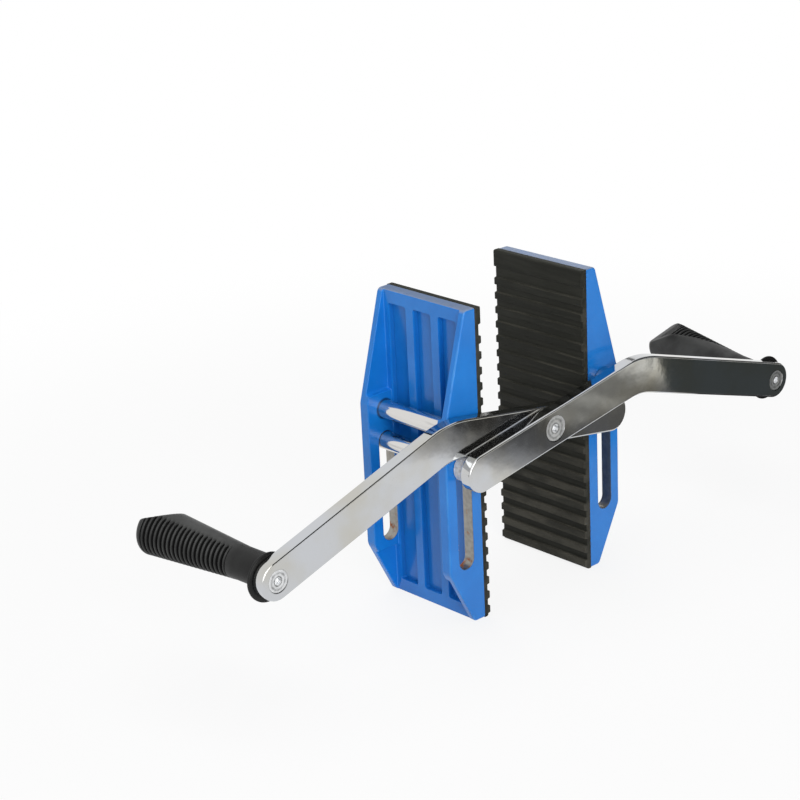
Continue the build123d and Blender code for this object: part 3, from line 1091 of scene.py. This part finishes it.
@dataclass
class Pivot:
    """The bolt that joins the two arms, with its nut and washer."""

    parts: tuple[str, ...] = ("pivot_bolt", "pivot_nut", "pivot_washer")

    def dress(self, zinc: bpy.types.Material) -> None:
        """Plates the three pieces."""
        for part in self.parts:
            dress(part, zinc)


@dataclass(frozen=True)
class Viewpoint:
    """The photograph's camera, aimed at a point beside the middle of the clamp."""

    azimuth: float = radians(-42.13)
    elevation: float = radians(20.30)
    roll: float = radians(-2.78)
    distance: float = 1.66246
    slide: float = -68.97 * MM
    lift: float = 22.26 * MM
    focal_pixels: float = 2215.93
    image_pixels: float = 800.0
    sensor: float = 36.0

    def place(self, middle: Vector) -> None:
        """Adds the camera.

        Args:
            middle: middle of the two jaws.
        """
        ahead = Vector(
            (
                -sin(self.azimuth) * cos(self.elevation),
                cos(self.azimuth) * cos(self.elevation),
                -sin(self.elevation),
            )
        )
        level = Vector((cos(self.azimuth), sin(self.azimuth), 0.0))
        upright = level.cross(ahead)
        right = level * cos(self.roll) + upright * sin(self.roll)
        up = upright * cos(self.roll) - level * sin(self.roll)
        data = bpy.data.cameras.new("camera")
        data.sensor_width = self.sensor
        data.lens = self.focal_pixels / self.image_pixels * self.sensor
        camera = put("camera", data)
        turn = Matrix((right, up, -ahead)).transposed().to_4x4()
        spot = middle + right * self.slide + up * self.lift - ahead * self.distance
        camera.matrix_world = Matrix.Translation(spot) @ turn
        bpy.context.scene.camera = camera


@dataclass(frozen=True)
class Lamp:
    """A soft square lamp, which bright surfaces may mirror and which may light dull ones."""

    name: str
    place: Place
    target: Place
    size: float
    glow: float
    mirrored: bool = True
    lighting: bool = True

    def add(self) -> None:
        """Adds the lamp, its power set so that its face glows at the given level."""
        data = bpy.data.lights.new(self.name, "AREA")
        data.shape = "SQUARE"
        data.size = self.size
        data.energy = self.glow * pi * self.size**2
        lamp = put(self.name, data)
        lamp.visible_glossy = self.mirrored
        lamp.visible_diffuse = self.lighting
        lamp.location = self.place
        toward = Vector(self.target) - Vector(self.place)
        lamp.rotation_euler = toward.to_track_quat("-Z", "Y").to_euler()


@dataclass(frozen=True)
class Card:
    """A shaded card that only reflections see, as a photographer sets beside bright metal.

    Its tone runs evenly from stop to stop. A stop is a share of its length and the tone there.
    """

    name: str
    corner: Place
    along: Place
    across: Place
    stops: tuple[tuple[float, float], ...]
    tint: Colour = (1.0, 1.0, 1.0)

    def add(self) -> None:
        """Adds the card as a flat grid: corner + s * along + t * across."""
        shares, tones = np.array(self.stops).T
        s, t = np.meshgrid(shares, np.linspace(0.0, 1.0, 2), indexing="ij")
        corner, along, across = (np.array(v) for v in (self.corner, self.along, self.across))
        points = corner + s[..., None] * along + t[..., None] * across
        card = surface_mesh(self.name, points, tone=tones[:, None])
        material, g = new_material(self.name)
        colour = g.mix(g.mark("tone"), (0.0, 0.0, 0.0), self.tint)
        g.close(g.node("ShaderNodeEmission", sockets={"Color": colour}))
        card.data.materials.append(material)
        for rays in ("camera", "diffuse", "shadow", "transmission"):
            setattr(card, f"visible_{rays}", False)


COOL_STOPS = (
    (0.000, 1.00), (0.060, 0.98), (0.073, 0.88), (0.082, 0.66), (0.090, 0.48),
    (0.105, 0.32), (0.123, 0.20), (0.140, 0.11), (0.175, 0.10),
)
WARM_STOPS = (
    (0.175, 0.10), (0.200, 0.18), (0.220, 0.38), (0.240, 0.20), (0.270, 0.47), (0.290, 0.22),
    (0.327, 0.24), (0.345, 0.40), (0.370, 0.85), (0.410, 0.95), (1.000, 0.95),
)
BEND_STOPS = ((0.0, 0.95), (0.125, 0.78), (0.25, 0.52), (0.49, 0.24), (0.67, 0.05), (1.0, 0.02))
WARM = (1.0, 0.97, 0.86)
COLD = (0.89, 1.0, 0.99)
FRONT_CORNER, FRONT_DEPTH = (-0.107, -0.90, 0.003), (0.203, 0.70, 0.0)
HANDLE_CORNER, HANDLE_DEPTH = (0.964, -0.90, 0.0035), (-0.666, 0.70, 0.0)


def even(tone: float) -> tuple[tuple[float, float], ...]:
    """Stops of a card that has one tone all over."""
    return (0.0, tone), (1.0, tone)


@dataclass
class Studio:
    """Pale floor, white surroundings, soft lamps, cards for the bright metal and the camera."""

    view: Viewpoint = Viewpoint()
    floor_reach: float = 12.0
    floor_grey: float = 0.82
    near_glow: float = 0.84
    shadow_reach: float = 0.9
    room_level: float = 0.28
    lamps: tuple[Lamp, ...] = (
        Lamp("lamp_overhead", (-0.10, 0.10, 1.60), (-0.05, 0.0, 0.1), 1.5, 2.1, mirrored=False),
        Lamp("lamp_front", (-0.90, -2.10, 0.85), (-0.05, 0.0, 0.12), 2.2, 2.1, lighting=False),
        Lamp("lamp_key", (-1.13, -1.89, 0.95), (-0.05, 0.0, 0.12), 1.2, 7.2, mirrored=False),
        Lamp("lamp_back", (0.90, 2.10, 1.00), (0.05, 0.0, 0.12), 1.6, 1.3, mirrored=False),
    )
    cards: tuple[Card, ...] = (
        Card("card_cool", FRONT_CORNER, (1.0, 0.0, 0.0), FRONT_DEPTH, COOL_STOPS),
        Card("card_warm", FRONT_CORNER, (1.0, 0.0, 0.0), FRONT_DEPTH, WARM_STOPS, WARM),
        Card("card_bend", (0.10, -0.43, 0.004), (0.16, 0.0, 0.0), (0.0, 0.107, 0.0), BEND_STOPS),
        Card("card_handle", HANDLE_CORNER, (1.2, 0.0, 0.0), HANDLE_DEPTH, even(0.068), COLD),
        Card("card_end", (0.26, -0.298, 0.004), (0.13, 0.0, 0.0), (0.0, 0.12, 0.0), even(0.13)),
        Card("card_under", (0.24, -0.178, 0.005), (0.24, 0.0, 0.0), (0.0, 0.33, 0.0), even(0.05)),
        Card("card_right", (0.428, -0.20, 0.003), (0.64, 0.0, 0.0), (0.0, 0.15, 0.0), even(0.06)),
        Card("card_side", (1.00, -1.30, 0.15), (0.0, 1.60, 0.0), (0.0, 0.0, 1.15), even(0.10)),
        Card("card_front", (0.25, -1.70, 0.25), (1.15, 0.0, 0.0), (0.0, 0.0, 2.60), even(0.02)),
        Card("card_back", (0.80, 1.80, 0.89), (1.10, -0.90, 0.0), (0.0, 0.0, 0.17), even(0.12)),
        Card("card_low", (0.80, 1.80, 0.30), (0.63, -0.515, 0.0), (0.0, 0.0, 0.17), even(0.05)),
        Card("card_near", (0.06, 0.29, 0.28), (0.23, 0.0, 0.0), (0.0, 0.0, 0.34), even(0.01)),
    )

    def seen_directly(self, g: Graph) -> Signal:
        """Tells rays that show the background: from the camera, off gloss or through glass.

        Args:
            g: graph of the floor's material or of the world.

        Returns:
            1 for those rays and 0 for the rest.
        """
        names = ("Is Camera Ray", "Is Glossy Ray", "Is Transmission Ray")
        camera, glossy, through = (g.node("ShaderNodeLightPath", output=name) for name in names)
        return camera.most(glossy).most(through)

    def lay_floor(self) -> None:
        """Lays the floor as a flat grid, white to the eye but with the clamp's shadow round it."""
        line = np.linspace(-self.floor_reach, self.floor_reach, 3)
        x, y = np.meshgrid(line, line, indexing="ij")
        floor = surface_mesh("floor", np.stack([x, y, np.zeros_like(x)], axis=-1))
        material, g = new_material("floor_paper")
        at = g.point()
        fibres = g.noise(at, 400.0, 3.0)
        grey = (self.floor_grey, self.floor_grey, self.floor_grey)
        tone = g.mix(fibres * 0.04, grey, (0.7, 0.7, 0.7))
        paper = g.shaded(Base_Color=tone, Roughness=0.9, Specular_IOR_Level=0.1)
        glow = g.node("ShaderNodeEmission", sockets={"Color": PURE_WHITE, "Strength": 1.0})
        x, y, _ = g.split(at)
        away = (x * x + y * y) ** 0.5
        white = away.rise(0.4 * self.shadow_reach, self.shadow_reach, self.near_glow, 1.0)
        g.close(g.blend(self.seen_directly(g) * white, paper, glow))
        floor.data.materials.append(material)

    def light(self) -> None:
        """Sets the white surroundings and adds the lamps and cards."""
        world = bpy.data.worlds.new("studio")
        bpy.context.scene.world = world
        world.use_nodes = True
        g = Graph(world.node_tree)
        strength = self.room_level + (1.0 - self.room_level) * self.seen_directly(g)
        room = g.node("ShaderNodeBackground", sockets={"Color": PURE_WHITE, "Strength": strength})
        g.close(room, "ShaderNodeOutputWorld")
        for item in (*self.lamps, *self.cards):
            item.add()

    def build(self, middle: Vector) -> None:
        """Sets up everything round the clamp.

        Args:
            middle: middle of the two jaws, at which the camera is aimed.
        """
        self.lay_floor()
        self.light()
        self.view.place(middle)
        bpy.context.scene.view_settings.view_transform = "Standard"
        log.info("studio: floor, %d lamps, %d cards, camera", len(self.lamps), len(self.cards))


def node_middle(node: str) -> Vector:
    """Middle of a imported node's box."""
    low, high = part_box(node)
    return (low + high) / 2.0


def slot_place() -> SlotPlace:
    """Works out the jaw slots from the rods, the hinge range and the jaw.

    Returns:
        The place of the right jaw's slots, of which the left jaw's are the mirror image.
    """
    rod_low, rod_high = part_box("right_lower_rod")
    rod = (rod_low + rod_high) / 2.0
    upper = node_middle("right_upper_rod")
    pivot = node_middle("pivot_bolt")
    radius = (rod_high.x - rod_low.x) / 2.0
    link = Vector((upper.x - pivot.x, upper.z - pivot.z))
    travel = radians(frame["joints"][0]["range_deg"][1])
    closed = upper.z - 2.0 * link.length * sin(atan2(link.y, link.x) + travel)
    return SlotPlace(
        x=rod.x,
        low=closed,
        high=rod.z,
        hole=upper.z,
        radius=radius + SLOT_ROOM,
        middle=node_middle("right_jaw").y,
        cheek=JAW_HALF_WIDTH - BOSS_THICK,
        top=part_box("right_jaw")[1].z,
    )


def bar_place() -> BarPlace:
    """Works out the bend, slopes and screw heads of the right arm from what it carries.

    Returns:
        The place of the right arm, of which the left arm is the mirror image.
    """
    pivot = node_middle("pivot_bolt")
    upper = node_middle("right_upper_rod")
    screws = [node_middle(f"{side.word}_grip_screw") for side in Side]
    inner = atan2(upper.z - pivot.z, upper.x - pivot.x)
    elbow = Vector((pivot.x + ELBOW_REACH * cos(inner), pivot.z + ELBOW_REACH * sin(inner)))
    return BarPlace(
        elbow=elbow.x,
        inner_turn=inner,
        handle_turn=atan2(screws[1].z - elbow.y, screws[1].x - elbow.x),
        layer=node_middle("pivot_washer").y,
        heads=(
            Head(pivot.x, pivot.z, BOLT_HEAD_RADIUS),
            *(Head(screw.x, screw.z, SCREW_HEAD_RADIUS) for screw in screws),
        ),
    )


def main() -> None:
    """Builds and dresses the clamp in order."""
    logging.basicConfig(level=logging.INFO, format="%(message)s")
    jaw_middle = (node_middle("left_jaw") + node_middle("right_jaw")) / 2.0
    Studio().build(jaw_middle)

    slot = slot_place()
    paint = CastPaint().material(slot)
    bar = bar_place()
    zinc = ZincSteel().material(bar)
    finishes = ArmFinishes(
        bar=BrightPlating().material(bar),
        rods=RodChrome().material(),
        collar=DULL_ZINC.material(bar),
        fasteners=zinc,
    )
    pad_rubber = PadRubber().material(slot)
    grip_rubber = GripRubber().material()

    for side in Side:
        jaw = Jaw(side)
        jaw.dress(paint)
        jaw.build_pad(pad_rubber)
        Arm(side).dress(finishes)
        Grip(side).build(grip_rubber)
    Pivot().dress(zinc)


if __name__ == "__main__":
    main()
